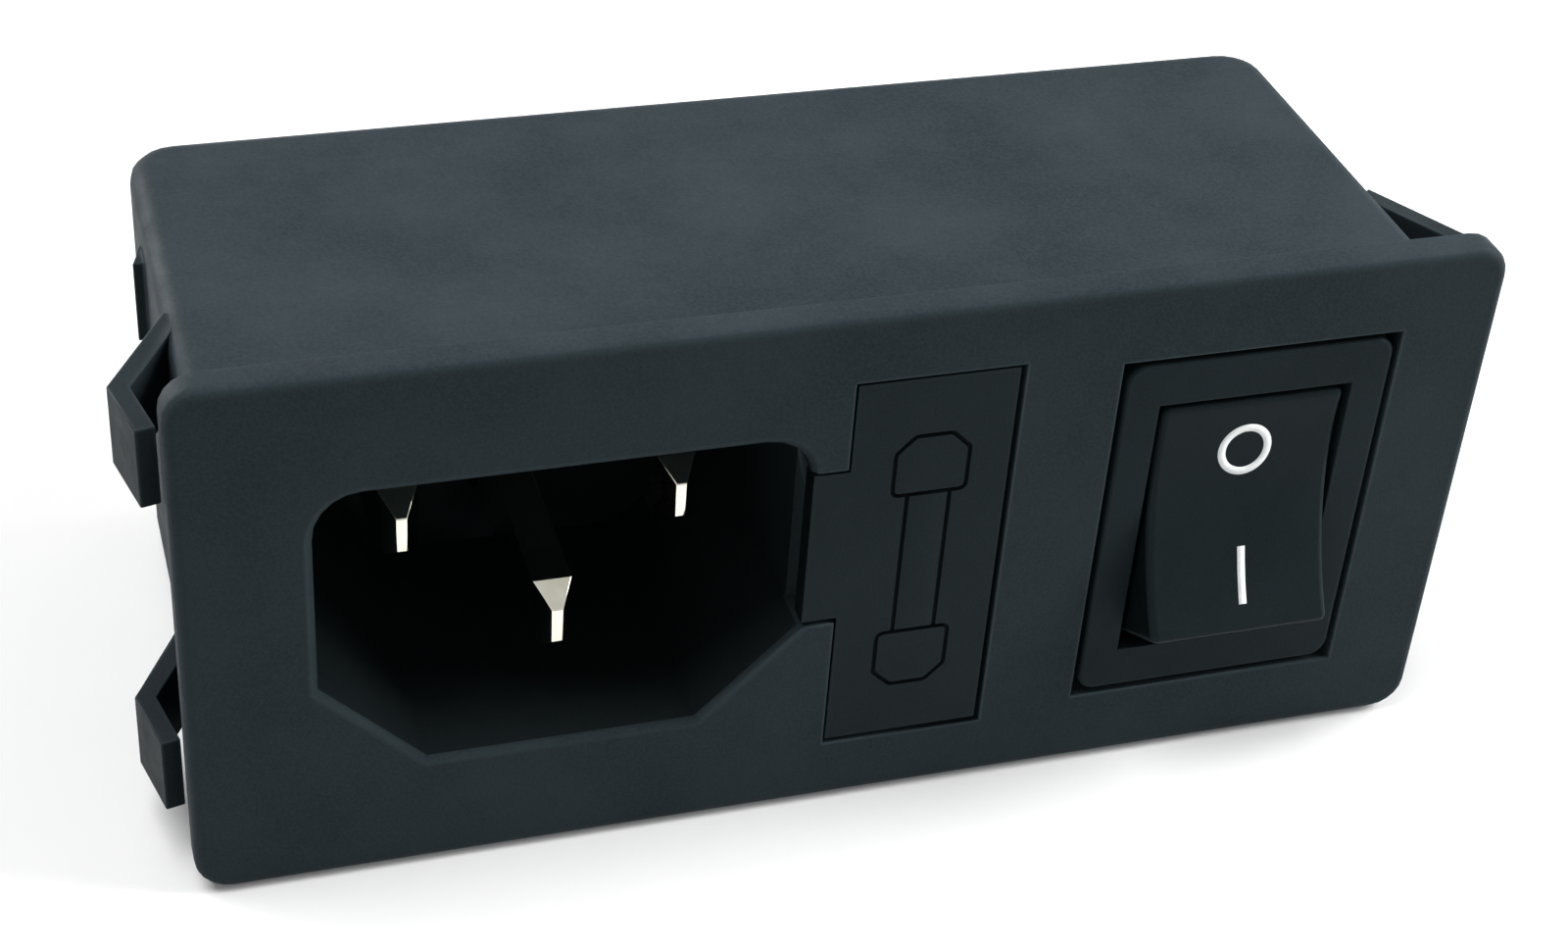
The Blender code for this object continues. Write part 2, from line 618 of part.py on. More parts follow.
def make_switch_frame(look):
    """Bezel and box of the switch, with the window, trunnion holes and terminal slots."""
    rings = []
    for y, inset in ((BEZEL_BACK_Y, 0.0), (FACE_Y + BEZEL_EDGE, 0.0), (FACE_Y, BEZEL_EDGE)):
        outline = rounded_box((SWITCH_X, 0), BEZEL_WIDTH - 2 * inset, BEZEL_HEIGHT - 2 * inset,
                              BEZEL_CORNER - inset)
        rings.append([(x, y, z) for x, z in outline])
    frame = loft("switch_frame", rings)
    outer = box("outer", span(SWITCH_X, WINDOW_WIDTH + 2 * SWITCH_WALL),
                (BEZEL_BACK_Y - JOIN, SWITCH_DEPTH), span(0, SWITCH_BOX_HEIGHT))
    join(frame, outer)
    window = box("window", span(SWITCH_X, WINDOW_WIDTH), (FACE_Y - JOIN, FACE_Y + WINDOW_LIP + JOIN),
                 span(0, WINDOW_HEIGHT))
    pocket = box("pocket", span(SWITCH_X, WINDOW_WIDTH),
                 (FACE_Y + WINDOW_LIP, SWITCH_FLOOR_Y), span(0, POCKET_HEIGHT))
    reach = WINDOW_WIDTH + 2 * SWITCH_WALL + 2 * JOIN
    bearing = prism("bearing", circle((ROCKER_PIVOT_Y, 0), TRUNNION_RADIUS + GAP), "X",
                    *span(SWITCH_X, reach))
    cut(frame, window, pocket, bearing)
    for side in (-1, 1):
        for row in (-1, 1):
            slot = box("slot", span(pole_x(side), TAB_THICKNESS + 2 * GAP),
                       (SWITCH_FLOOR_Y - JOIN, SWITCH_DEPTH + JOIN),
                       span(row * SWITCH_TAB_Z, TAB_WIDTH + 2 * GAP))
            cut(frame, slot)
    return finish(frame, look["bezel"])


def rocker_outline(inset=0.0):
    """Side view of the rocker about its pivot: hollow front, flared ends, flat back."""
    half = ROCKER_CHORD / 2
    radius = (half ** 2 + ROCKER_HOLLOW ** 2) / (2 * ROCKER_HOLLOW)
    centre = (-ROCKER_RISE + ROCKER_HOLLOW - radius, 0.0)
    reach = math.degrees(math.asin((half - inset) / (radius + inset)))
    front = arc(centre, radius + inset, reach, -reach, ROUND_STEPS * 3)
    flare = ROCKER_RISE * math.tan(math.radians(ROCKER_TILT))
    skirt = half + flare - inset
    back = [(0.0, -skirt), (ROCKER_SKIRT, -skirt), (ROCKER_SKIRT, skirt), (0.0, skirt)]
    return front + back


def make_rocker(look):
    """Hollow rocker with trunnions at its sides and two tubes for the plungers."""
    half = ROCKER_WIDTH / 2
    rocker = prism("rocker", rocker_outline(), "X", -half, half)
    lobe = prism("lobe", circle((0, 0), ROCKER_LOBE), "X", -half, half)
    join(rocker, lobe)
    inner = half - ROCKER_WALL
    hollow = [(y + (JOIN if y == ROCKER_SKIRT else 0), z) for y, z in rocker_outline(ROCKER_WALL)]
    deep = ROCKER_LOBE + JOIN
    cut(rocker, prism("hollow", hollow, "X", -inner, inner),
        box("lobe_gap", (-inner, inner), (0, deep), span(0, 2 * deep)))
    floor = -ROCKER_RISE + ROCKER_HOLLOW + ROCKER_WALL
    for side in (-1, 1):
        x = side * POLE_SPACING / 2
        tube = circle((x, 0), BOSS_BORE + BOSS_WALL)
        join(rocker, prism("tube", tube, "Y", floor - JOIN, BOSS_REACH))
        cut(rocker, prism("bore", circle((x, 0), BOSS_BORE), "Y", floor + JOIN, BOSS_REACH + JOIN))
    reach = half + TRUNNION_LENGTH
    for limits in ((-reach, JOIN - half), (half - JOIN, reach)):
        join(rocker, prism("trunnion", circle((0, 0), TRUNNION_RADIUS), "X", *limits))
    return finish(rocker, look["rocker"])


def make_plunger(name, side, look):
    """Round pin with a domed nose that rides on the contact lever."""
    x = side * POLE_SPACING / 2
    steps = ROUND_STEPS
    levels = [(PLUNGER_START, PLUNGER_RADIUS)]
    for i in range(steps):
        turn = math.radians(80 * i / (steps - 1))
        levels.append((PLUNGER_REACH - PLUNGER_RADIUS * (1 - math.sin(turn)),
                       PLUNGER_RADIUS * math.cos(turn)))
    rings = [[(a, y, b) for a, b in circle((x, 0), radius, 16)] for y, radius in levels]
    return finish(loft(name, rings), look["plunger"], 50.0)


def make_spring(name, side, look):
    """Compression spring between the rocker and the plunger."""
    floor = -ROCKER_RISE + ROCKER_HOLLOW + ROCKER_WALL + JOIN
    radius = PLUNGER_RADIUS - SPRING_WIRE / 2
    start = floor + GAP + SPRING_WIRE / 2
    end = PLUNGER_START - GAP - SPRING_WIRE / 2
    steps = SPRING_TURNS * 12
    rings = []
    for i in range(steps + 1):
        turn = 2 * math.pi * SPRING_TURNS * i / steps
        out = Vector((math.cos(turn), 0, math.sin(turn)))
        middle = Vector((side * POLE_SPACING / 2, start + (end - start) * i / steps, 0)) + out * radius
        rings.append([middle + (out * a + Vector((0, b, 0)))
                      for a, b in circle((0, 0), SPRING_WIRE / 2, 6)])
    return finish(loft(name, rings), look["spring"], 60.0)


def make_lever(name, side, look):
    """Rocking contact with ears that straddle its terminal and a contact button."""
    x = side * POLE_SPACING / 2
    width = TAB_THICKNESS + 2 * (GAP + EAR_THICKNESS)
    lever = box(name, span(x, width), (-LEVER_THICKNESS, 0), span(0, LEVER_LENGTH))
    ear_shift = (width - EAR_THICKNESS) / 2
    for ear_side in (-1, 1):
        join(lever, box("ear", span(x + ear_side * ear_shift, EAR_THICKNESS), (-JOIN, EAR_DEPTH),
                        span(0, EAR_LENGTH)))
    button = prism("button", circle((x, BUTTON_Z), BUTTON_RADIUS, 16), "Y", -JOIN, BUTTON_THICKNESS)
    join(lever, button)
    return finish(lever, look["brass"])


def make_common_terminal(name, side, look):
    """Stamped terminal whose front point carries the contact lever."""
    point = LEVER_PIVOT_Y + GAP
    shoulder = point + EAR_DEPTH
    neck = shoulder + EAR_DEPTH + GAP
    seat = SWITCH_FLOOR_Y - GAP
    half = TAB_THICKNESS / 4
    high = span(-SWITCH_TAB_Z, TAB_WIDTH)[1]
    tab = tab_outline(neck, TAB_END_Y, -SWITCH_TAB_Z)
    arm = [(seat, high), (seat, TAB_THICKNESS), (shoulder, TAB_THICKNESS), (point, half),
           (point, -half), (shoulder, -EAR_DEPTH)]
    terminal = prism(name, tab[:5] + arm, "X", *span(pole_x(side), TAB_THICKNESS))
    cut(terminal, tab_hole("X", pole_x(side), -SWITCH_TAB_Z))
    return finish(terminal, look["brass"])


def make_contact_terminal(name, side, look):
    """Stamped terminal that the lever's button meets when the switch is on."""
    start = BUTTON_REST_Y + GAP
    tab = tab_outline(start + EAR_DEPTH, TAB_END_Y, SWITCH_TAB_Z)
    near, far = span(BUTTON_Z, 2 * BUTTON_RADIUS)
    outline = tab + [(start, far), (start, near)]
    terminal = prism(name, outline, "X", *span(pole_x(side), TAB_THICKNESS))
    cut(terminal, tab_hole("X", pole_x(side), SWITCH_TAB_Z))
    return finish(terminal, look["brass"])


def hang_on_axis(name, y, tilt, pieces):
    """Parent pieces to an empty on their joint's axis, turned by tilt degrees about X."""
    axis = bpy.data.objects.new(name, None)
    axis.location = (SWITCH_X, y, 0)
    axis.rotation_euler = (math.radians(tilt), 0, 0)
    bpy.context.scene.collection.objects.link(axis)
    for piece in pieces:
        piece.parent = axis
    return axis


def make_switch(look):
    """Frame, terminals and moving pieces of the double-pole rocker switch."""
    make_switch_frame(look)
    poles = (("left", -1), ("right", 1))
    rocking = [make_rocker(look)]
    levers = []
    for word, side in poles:
        make_common_terminal(f"switch_common_{word}", side, look)
        make_contact_terminal(f"switch_contact_{word}", side, look)
        rocking.append(make_plunger(f"plunger_{word}", side, look))
        rocking.append(make_spring(f"plunger_spring_{word}", side, look))
        levers.append(make_lever(f"contact_lever_{word}", side, look))
    hang_on_axis("rocker_axis", ROCKER_PIVOT_Y, -ROCKER_TILT, rocking)
    hang_on_axis("lever_axis", LEVER_PIVOT_Y, LEVER_TILT, levers)


def make_module():
    """The whole power entry module."""
    for old in list(bpy.data.objects):
        bpy.data.objects.remove(old)
    look = make_materials()
    make_front_frame(look)
    make_rear_shell(look)
    make_blade("line_pin", LINE_X, PIN_LINE_Z, PIN_LINE_SETBACK, STUB_END_Y, look)
    make_blade("neutral_pin", NEUTRAL_X, PIN_LINE_Z, PIN_LINE_SETBACK, TAB_END_Y, look)
    make_blade("earth_pin", INLET_X, PIN_EARTH_Z, PIN_EARTH_SETBACK, TAB_END_Y, look)
    make_fuse_contact("fuse_contact_upper", 1, TAB_END_Y, look)
    make_fuse_contact("fuse_contact_lower", -1, STUB_END_Y - GAP, look)
    make_line_link(look)
    make_fuse_drawer(look)
    make_fuse(look)
    make_switch(look)


make_module()
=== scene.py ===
"""Looks of the power entry module: soft-edged mouldings, fuse sign, switch marks, light and camera."""

import math

import bmesh
import bpy
from mathutils import Matrix, Vector


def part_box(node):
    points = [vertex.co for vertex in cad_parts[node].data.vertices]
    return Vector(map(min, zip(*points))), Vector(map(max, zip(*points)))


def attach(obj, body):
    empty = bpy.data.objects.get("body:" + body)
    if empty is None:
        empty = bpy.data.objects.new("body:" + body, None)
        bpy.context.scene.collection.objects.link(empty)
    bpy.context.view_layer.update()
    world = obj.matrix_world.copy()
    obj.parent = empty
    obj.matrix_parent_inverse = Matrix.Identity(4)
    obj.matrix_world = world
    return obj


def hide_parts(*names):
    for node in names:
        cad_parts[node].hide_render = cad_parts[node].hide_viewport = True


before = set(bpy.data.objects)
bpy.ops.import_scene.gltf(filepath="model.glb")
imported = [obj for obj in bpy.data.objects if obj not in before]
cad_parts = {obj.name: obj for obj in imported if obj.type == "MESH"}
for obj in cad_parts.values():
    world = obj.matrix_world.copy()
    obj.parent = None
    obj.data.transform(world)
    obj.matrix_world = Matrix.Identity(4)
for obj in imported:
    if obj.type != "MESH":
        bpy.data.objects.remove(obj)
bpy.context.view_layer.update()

MM = 0.001

# How close is the same place, in metres and in digits, and which degrees are flat, sharp or a crease
SAME_POINT = 0.002 * MM
MIDDLE_DIGITS = 7
FACE_SKIN = 0.02 * MM
REAR_SKIN = 0.05 * MM
FLAT_ANGLE = 0.6
SHARP_ANGLE = 32.0
CREASE_ANGLE = 50.0

# Widths of the soft edges
FACE_EDGE = 0.26 * MM
SLOT_EDGE = 0.06 * MM
SHELL_EDGE = 0.12 * MM
BEZEL_EDGE = 0.1 * MM
ROCKER_EDGE = 0.4 * MM
BLADE_EDGE = 0.07 * MM
DRAWER_EDGE = 0.05 * MM

# Parts of the mouldings that have an edge of their own, or a darker or paler finish painted as shade or
# light
FACE_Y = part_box("front_frame")[0].y
RIM_BAND = 2.5 * MM
RIM_SLOPE = 0.6
WELL_HALF_WIDTH = 12.1 * MM
WELL_HALF_HEIGHT = 8.4 * MM
WELL_LIP = 0.3 * MM
ARM_STEP = 3.2 * MM
ARM_SKIN = 0.2 * MM
BLADE_FREE = 14 * MM
DRAWER_CLOSE = 0.2 * MM

# Rocker, as the CAD hangs it
SWITCH_X = 20.25 * MM
ROCKER_PIVOT = Vector((SWITCH_X, 1.4 * MM, 0.0))
ROCKER_TILT = 14.0
ROCKER_WIDTH = 9.9 * MM
ROCKER_CHORD = 12.86 * MM
ROCKER_RISE = 4.9 * MM
ROCKER_HOLLOW = 1.2 * MM
ROCKER_SKIN = 0.02 * MM
ROCKER_END = 0.3 * MM
ROCKER_BACK = -0.4 * MM

# Fuse sign on the drawer: two caps and the bar between them
SIGN_X = 3.23 * MM
SIGN_BAR = 2.2 * MM
SIGN_CAP = 3.8 * MM
SIGN_CAP_LOW = 4.3 * MM
SIGN_CAP_HIGH = 7.75 * MM
SIGN_CHAMFER = 0.95 * MM
SIGN_LINE = 0.24 * MM
SIGN_DEPTH = 0.22 * MM
SIGN_CORNER = 0.35 * MM
CORNER_STEPS = 4

# Marks printed on the rocker: the ring of O and the bar of I
MARK_LINE = 0.42 * MM
MARK_THICKNESS = 0.05 * MM
MARK_PROUD = 0.015 * MM
RING_RADIUS = 1.26 * MM
RING_X = -0.05 * MM
RING_UP = 3.5 * MM
RING_STEPS = 64
BAR_X = 0.2 * MM
BAR_UP = -2.0 * MM
BAR_LENGTH = 3.0 * MM
BAR_STEPS = 12

# Where most values of a noise lie, for even, cloudy and patchy looks
NOISE_SPREAD = (0.3, 0.7)
CLOUD_SPREAD = (0.35, 0.65)
PATCH_SPREAD = (0.35, 0.7)
SMEAR_SPREAD = (0.4, 0.7)
PATCHY_STREAKS = (0.7, 1.3)

# Edge mask: how alike the rounded and the plain direction are where it starts and where it is full
EDGE_ALIKE = (0.999, 0.975)
EDGE_SAMPLES = 6

# Moulded plastic
PLASTIC_EDGE = 0.22 * MM
PLASTIC_HIGHLIGHT_SHARE = 0.6
PLASTIC_EDGE_POLISH = 0.1
PLASTIC_SHINE = (0.75, 0.92, 1.0, 1.0)
SPECK_SHARE = 0.45
SPECK_LIGHT = 1.45

# By what it is on: name, two tones, roughness from and to, grain, how much paler the painted edge highlight
# is, gloss
PLASTICS = {
    "frame": ("matte_black_frame", (0.015, 0.0215, 0.0242), (0.0198, 0.0284, 0.032),
              (0.5, 0.64), 0.16 * MM, 2.7, 0.05),
    # Inlet well walls: a darker copy of the frame plastic, painted shade for the deep recess
    "well": ("smooth_black_wall_painted_shade", (0.0068, 0.0098, 0.0106), (0.0088, 0.0126, 0.0137),
             (0.34, 0.44), 0.12 * MM, 1.3, 0.04),
    # Sides of the rocker, the drawer's left face and the sign's grooves: a still darker copy, painted shade
    "side": ("smooth_black_side_painted_shade", (0.003, 0.0045, 0.005), (0.004, 0.006, 0.0066),
             (0.34, 0.44), 0.12 * MM, 1.3, 0.03),
    "shell": ("matte_black_shell", (0.0155, 0.0217, 0.0252), (0.0248, 0.0335, 0.0388),
              (0.52, 0.66), 0.18 * MM, 1.8, 0.05),
    "arm": ("smooth_black_arm", (0.010, 0.014, 0.016), (0.014, 0.019, 0.022),
            (0.44, 0.56), 0.14 * MM, 2.4, 0.05),
    "drawer": ("matte_black_drawer", (0.0094, 0.0142, 0.0155), (0.0122, 0.0177, 0.0192),
               (0.5, 0.62), 0.15 * MM, 1.5, 0.05),
    "bezel": ("black_switch_frame", (0.0076, 0.012, 0.0134), (0.0104, 0.0158, 0.0177),
              (0.46, 0.58), 0.13 * MM, 1.5, 0.05),
    "rocker": ("black_rocker", (0.0074, 0.0115, 0.0126), (0.010, 0.0148, 0.0163),
               (0.4, 0.5), 0.1 * MM, 2.6, 0.05),
}

# Stamped metal
METAL_EDGE = 0.12 * MM
METAL_EDGE_SHARE = 0.8
METAL_EDGE_LIGHT = 1.18
STREAK_STRETCH = 0.06

# By what it is on: name, two tones, roughness from and to, axis of the streaks
METALS = {
    "blade": ("bright_nickel", (0.84, 0.83, 0.72), (0.77, 0.75, 0.62), (0.07, 0.14), 1),
    "brass": ("plated_brass", (0.74, 0.66, 0.44), (0.58, 0.48, 0.28), (0.26, 0.44), 1),
    "spring": ("spring_steel", (0.58, 0.58, 0.57), (0.44, 0.44, 0.44), (0.24, 0.38), 1),
    "cap": ("nickel_cap", (0.74, 0.73, 0.70), (0.60, 0.58, 0.53), (0.18, 0.34), 2),
    "wire": ("fuse_element", (0.76, 0.75, 0.73), (0.62, 0.60, 0.56), (0.25, 0.4), 2),
}

# Ink, glass and nylon
INK_TONES = ((0.80, 0.84, 0.84), (0.92, 0.94, 0.93))
INK_ROUGH = (0.38, 0.55)
GLASS_TONES = ((0.93, 0.97, 0.96), (0.99, 1.0, 0.99))
GLASS_ROUGH = (0.02, 0.12)
GLASS_STRETCH = 0.05
GLASS_IOR = 1.5
NYLON_TONES = ((0.68, 0.65, 0.56), (0.80, 0.78, 0.70))
NYLON_ROUGH = (0.4, 0.58)
NYLON_RINGS = 2500.0

# Finish of the CAD pieces that keep their shape
INNER_PIECES = {
    "brass": ("line_link", "fuse_contact_upper", "fuse_contact_lower",
              "switch_common_left", "switch_common_right", "switch_contact_left", "switch_contact_right",
              "contact_lever_left", "contact_lever_right"),
    "plunger": ("plunger_left", "plunger_right"),
    "spring": ("plunger_spring_left", "plunger_spring_right"),
    "glass": ("fuse_tube",),
    "cap": ("fuse_cap_upper", "fuse_cap_lower"),
    "wire": ("fuse_wire",),
}

# Table that the flange's lower edge and the shell's lower rear edge stand on
TABLE_POINT = Vector((0.0, -0.15, -14.92)) * MM
TABLE_TILT = 7.14
TABLE_SIZE = 3.0
TABLE_TONES = ((0.79, 0.79, 0.79), (0.82, 0.82, 0.82))
TABLE_ROUGH = (0.7, 0.85)
TABLE_GLOSS = 0.1

# The table's tone in the light that it throws back, and its own glow, which grows from near to far
TABLE_BOUNCE = (0.7, 0.7, 0.7)
TABLE_GLOW = (0.05, 1.0)
TABLE_FADE = (0.16, 0.5)

# Light: the room, and the lamps by name, place, size, power and whether they fall on the module
ROOM_LIGHT = 0.28
ROOM_GLOSS = 0.6
LAMP_AIM = Vector((0.0, 0.01, 0.0))
LAMPS = (("overhead", (-0.18, 0.04, 0.50), 0.34, 2.95, True),
         ("window", (0.27, -0.03, 0.16), 0.18, 1.4, True),
         ("far_window", (-0.22, 0.30, 0.06), 0.22, 1.8, False))

# The photograph's view
LENS = 64.394
CAMERA_PLACE = Vector((-40.635, -103.698, 84.728)) * MM
CAMERA_TURN = (54.0234, -3.7729, -16.8843)
CAMERA_NEAR = 0.005
CAMERA_FAR = 20.0

# Sockets of a colour Mix node, which share their names with its other sockets
MIX_FIRST = 6
MIX_SECOND = 7
MIX_RESULT = 2


# Node trees

def add_node(tree, kind, inputs=None, **settings):
    """Add a node; an input is given as a value or as the socket that feeds it."""
    made = tree.nodes.new(kind)
    for name, value in settings.items():
        setattr(made, name, value)
    for name, value in (inputs or {}).items():
        if isinstance(value, bpy.types.NodeSocket):
            tree.links.new(value, made.inputs[name])
        else:
            made.inputs[name].default_value = value
    return made


def add_math(tree, operation, first, second=0.0):
    """Math node on two values or sockets."""
    return add_node(tree, "ShaderNodeMath", {0: first, 1: second}, operation=operation).outputs[0]


def add_range(tree, value, low, high, to_low, to_high):
    """Value taken from one range to another and held inside it."""
    inputs = {"Value": value, "From Min": low, "From Max": high, "To Min": to_low, "To Max": to_high}
    return add_node(tree, "ShaderNodeMapRange", inputs, clamp=True).outputs["Result"]


def add_noise(tree, place, size, detail=2.0, roughness=0.5):
    """Noise whose features are about size metres across."""
    inputs = {"Vector": place, "Scale": 1.0 / size, "Detail": detail, "Roughness": roughness}
    return add_node(tree, "ShaderNodeTexNoise", inputs).outputs["Fac"]


def add_mix(tree, share, first, second):
    """Mix of two colours, each given as red, green and blue or as a socket."""
    first, second = (c if isinstance(c, bpy.types.NodeSocket) else (*c, 1.0) for c in (first, second))
    inputs = {0: share, MIX_FIRST: first, MIX_SECOND: second}
    return add_node(tree, "ShaderNodeMix", inputs, data_type="RGBA").outputs[MIX_RESULT]


def add_bump(tree, height, strength, depth, under=None):
    """Relief depth metres high, on top of another relief where one is given."""
    inputs = {"Strength": strength, "Distance": depth, "Height": height}
    if under is not None:
        inputs["Normal"] = under
    return add_node(tree, "ShaderNodeBump", inputs).outputs[0]


def add_stretch(tree, place, scale):
    """The place on the object, scaled along each axis."""
    return add_node(tree, "ShaderNodeMapping", {"Vector": place, "Scale": scale}).outputs[0]


def add_edge_mask(tree, radius):
    """1 on edges rounder than the rest of the surface, 0 on flats."""
    worn = add_node(tree, "ShaderNodeBevel", {"Radius": radius}, samples=EDGE_SAMPLES)
    plain = add_node(tree, "ShaderNodeNewGeometry")
    inputs = {0: worn.outputs["Normal"], 1: plain.outputs["Normal"]}
    same = add_node(tree, "ShaderNodeVectorMath", inputs, operation="DOT_PRODUCT").outputs["Value"]
    return add_range(tree, same, *EDGE_ALIKE, 0.0, 1.0)


def add_seen_share(tree):
    """1 for what is seen directly, in gloss or through glass, 0 for light that falls on the module."""
    rays = add_node(tree, "ShaderNodeLightPath").outputs
    indirect = add_math(tree, "MAXIMUM", rays["Is Glossy Ray"], rays["Is Transmission Ray"])
    return add_math(tree, "MAXIMUM", rays["Is Camera Ray"], indirect)


def start_material(name):
    """Empty material with its shader and the place on the object in metres."""
    made = bpy.data.materials.new(name)
    made.use_nodes = True
    tree = made.node_tree
    shader = tree.nodes["Principled BSDF"]
    place = add_node(tree, "ShaderNodeTexCoord").outputs["Object"]
    return made, tree, shader, place


def feed(tree, shader, **sockets):
    """Link sockets to the shader's inputs, with spaces written as underscores."""
    for name, socket in sockets.items():
        tree.links.new(socket, shader.inputs[name.replace("_", " ")])


# Materials

def brighten(colour, times):
    """The colour some times as bright, held to white."""
    return tuple(min(1.0, c * times) for c in colour)


def moulded_plastic(name, dark, light, rough, grain, edge_highlight, gloss):
    """Black plastic from a spark-eroded mould: fine grain, faint flow clouds, smoother edges, and paler
    edges that are a painted highlight.
    """
    made, tree, shader, place = start_material(name)
    clouds = add_noise(tree, place, size=9 * MM, detail=3.0, roughness=0.55)
    specks = add_noise(tree, place, size=grain, detail=2.0, roughness=0.6)
    edge = add_edge_mask(tree, PLASTIC_EDGE)
    body = add_mix(tree, add_range(tree, clouds, *CLOUD_SPREAD, 0.0, 1.0), dark, light)
    speck_share = add_range(tree, specks, *NOISE_SPREAD, 0.0, SPECK_SHARE)
    body = add_mix(tree, speck_share, body, brighten(light, SPECK_LIGHT))
    # Paler colour on the edges is a painted highlight
    edge_share = add_math(tree, "MULTIPLY", edge, PLASTIC_HIGHLIGHT_SHARE)
    colour = add_mix(tree, edge_share, body, brighten(light, edge_highlight))
    patches = add_noise(tree, place, size=1.2 * MM, detail=4.0, roughness=0.6)
    roughness = add_range(tree, patches, *NOISE_SPREAD, *rough)
    polish = add_math(tree, "MULTIPLY", edge, PLASTIC_EDGE_POLISH)
    roughness = add_math(tree, "SUBTRACT", roughness, polish)
    fine = add_bump(tree, specks, strength=0.32, depth=0.03 * MM)
    flow = add_noise(tree, place, size=14 * MM, detail=1.0)
    broad = add_bump(tree, flow, strength=0.25, depth=0.25 * MM, under=fine)
    shader.inputs["Specular IOR Level"].default_value = gloss
    shader.inputs["Specular Tint"].default_value = PLASTIC_SHINE
    feed(tree, shader, Base_Color=colour, Roughness=roughness, Normal=broad)
    return made


def stamped_metal(name, colour, shade, rough, streak_axis):
    """Plated strip: rolled streaks along one axis, dulled patches and a paler colour on the edges."""
    made, tree, shader, place = start_material(name)
    stretch = [1.0, 1.0, 1.0]
    stretch[streak_axis] = STREAK_STRETCH
    along = add_stretch(tree, place, stretch)
    streaks = add_noise(tree, along, size=0.12 * MM, detail=3.0, roughness=0.6)
    patches = add_noise(tree, place, size=1.6 * MM, detail=3.0, roughness=0.6)
    edge = add_edge_mask(tree, METAL_EDGE)
    body = add_mix(tree, add_range(tree, patches, *PATCH_SPREAD, 0.0, 1.0), colour, shade)
    edge_share = add_math(tree, "MULTIPLY", edge, METAL_EDGE_SHARE)
    tone = add_mix(tree, edge_share, body, brighten(colour, METAL_EDGE_LIGHT))
    both = add_math(tree, "ADD", streaks, patches)
    roughness = add_range(tree, both, *PATCHY_STREAKS, *rough)
    bump = add_bump(tree, streaks, strength=0.05, depth=0.003 * MM)
    shader.inputs["Metallic"].default_value = 1.0
    feed(tree, shader, Base_Color=tone, Roughness=roughness, Normal=bump)
    return made


def print_ink():
    """White pad-printed ink with a faint mottle and soft grain."""
    made, tree, shader, place = start_material("white_print")
    mottle = add_noise(tree, place, size=0.35 * MM, detail=3.0, roughness=0.6)
    tone = add_mix(tree, add_range(tree, mottle, *NOISE_SPREAD, 0.0, 1.0), *INK_TONES)
    roughness = add_range(tree, mottle, *NOISE_SPREAD, *INK_ROUGH)
    grain = add_noise(tree, place, size=0.09 * MM)
    bump = add_bump(tree, grain, strength=0.25, depth=0.01 * MM)
    feed(tree, shader, Base_Color=tone, Roughness=roughness, Normal=bump)
    return made


def clear_glass():
    """Fuse tube: thin clear glass with faint draw lines and a trace of smear."""
    made, tree, shader, place = start_material("tube_glass")
    lines = add_noise(tree, add_stretch(tree, place, (1.0, 1.0, GLASS_STRETCH)), size=0.3 * MM)
    smear = add_noise(tree, place, size=1.5 * MM, detail=3.0)
    tint = add_mix(tree, smear, *GLASS_TONES)
    roughness = add_range(tree, smear, *SMEAR_SPREAD, *GLASS_ROUGH)
    bump = add_bump(tree, lines, strength=0.15, depth=0.01 * MM)
    shader.inputs["Transmission Weight"].default_value = 1.0
    shader.inputs["IOR"].default_value = GLASS_IOR
    feed(tree, shader, Base_Color=tint, Roughness=roughness, Normal=bump)
    return made


def pale_nylon():
    """Natural nylon of the plungers, a little waxy, with turned rings."""
    made, tree, shader, place = start_material("natural_nylon")
    tone = add_mix(tree, add_noise(tree, place, size=0.8 * MM, detail=3.0), *NYLON_TONES)
    waxy = add_noise(tree, place, size=0.2 * MM, detail=3.0)
    roughness = add_range(tree, waxy, *NOISE_SPREAD, *NYLON_ROUGH)
    rings = add_node(tree, "ShaderNodeTexWave", {"Vector": place, "Scale": NYLON_RINGS, "Distortion": 1.0},
                     bands_direction="Y").outputs["Fac"]
    bump = add_bump(tree, rings, strength=0.2, depth=0.01 * MM)
    feed(tree, shader, Base_Color=tone, Roughness=roughness, Normal=bump)
    return made


def make_materials():
    """Every finish on the module, by what it is on."""
    finishes = {use: moulded_plastic(*given) for use, given in PLASTICS.items()}
    finishes.update((use, stamped_metal(*given)) for use, given in METALS.items())
    finishes.update(plunger=pale_nylon(), glass=clear_glass(), ink=print_ink())
    return finishes


# Mouldings and blades, from merged copies of the CAD nodes

def read_node(name):
    """Merged copy of a CAD node's mesh, with each flat made whole."""
    bm = bmesh.new()
    bm.from_mesh(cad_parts[name].data)
    bmesh.ops.remove_doubles(bm, verts=bm.verts, dist=SAME_POINT)
    bmesh.ops.dissolve_limit(bm, angle_limit=math.radians(FLAT_ANGLE), verts=bm.verts, edges=bm.edges)
    return bm


def soften(bm, width, choose, steps=2, clamp=True):
    """Round the sharp edges that choose accepts by their middle point."""
    chosen = []
    for edge in bm.edges:
        if len(edge.link_faces) != 2 or edge.calc_face_angle() < math.radians(SHARP_ANGLE):
            continue
        first, second = (v.co for v in edge.verts)
        if choose((first + second) / 2):
            chosen.append(edge)
    bmesh.ops.bevel(bm, geom=chosen, offset=width, offset_type="OFFSET", segments=steps, profile=0.5,
                    affect="EDGES", clamp_overlap=clamp)


def paint(bm, choose, finish=1):
    """Give a finish to the faces that choose accepts by their middle point and direction."""
    for face in bm.faces:
        if choose(face.calc_center_median(), face.normal):
            face.material_index = finish


def order_faces(bm):
    """Put the faces in the order of their middle points, since rounding edges leaves it to chance."""
    def middle(face):
        return tuple(round(value, MIDDLE_DIGITS) for value in face.calc_center_median())

    rank = {face: place for place, face in enumerate(sorted(bm.faces, key=middle))}
    bm.faces.sort(key=lambda face: rank[face])


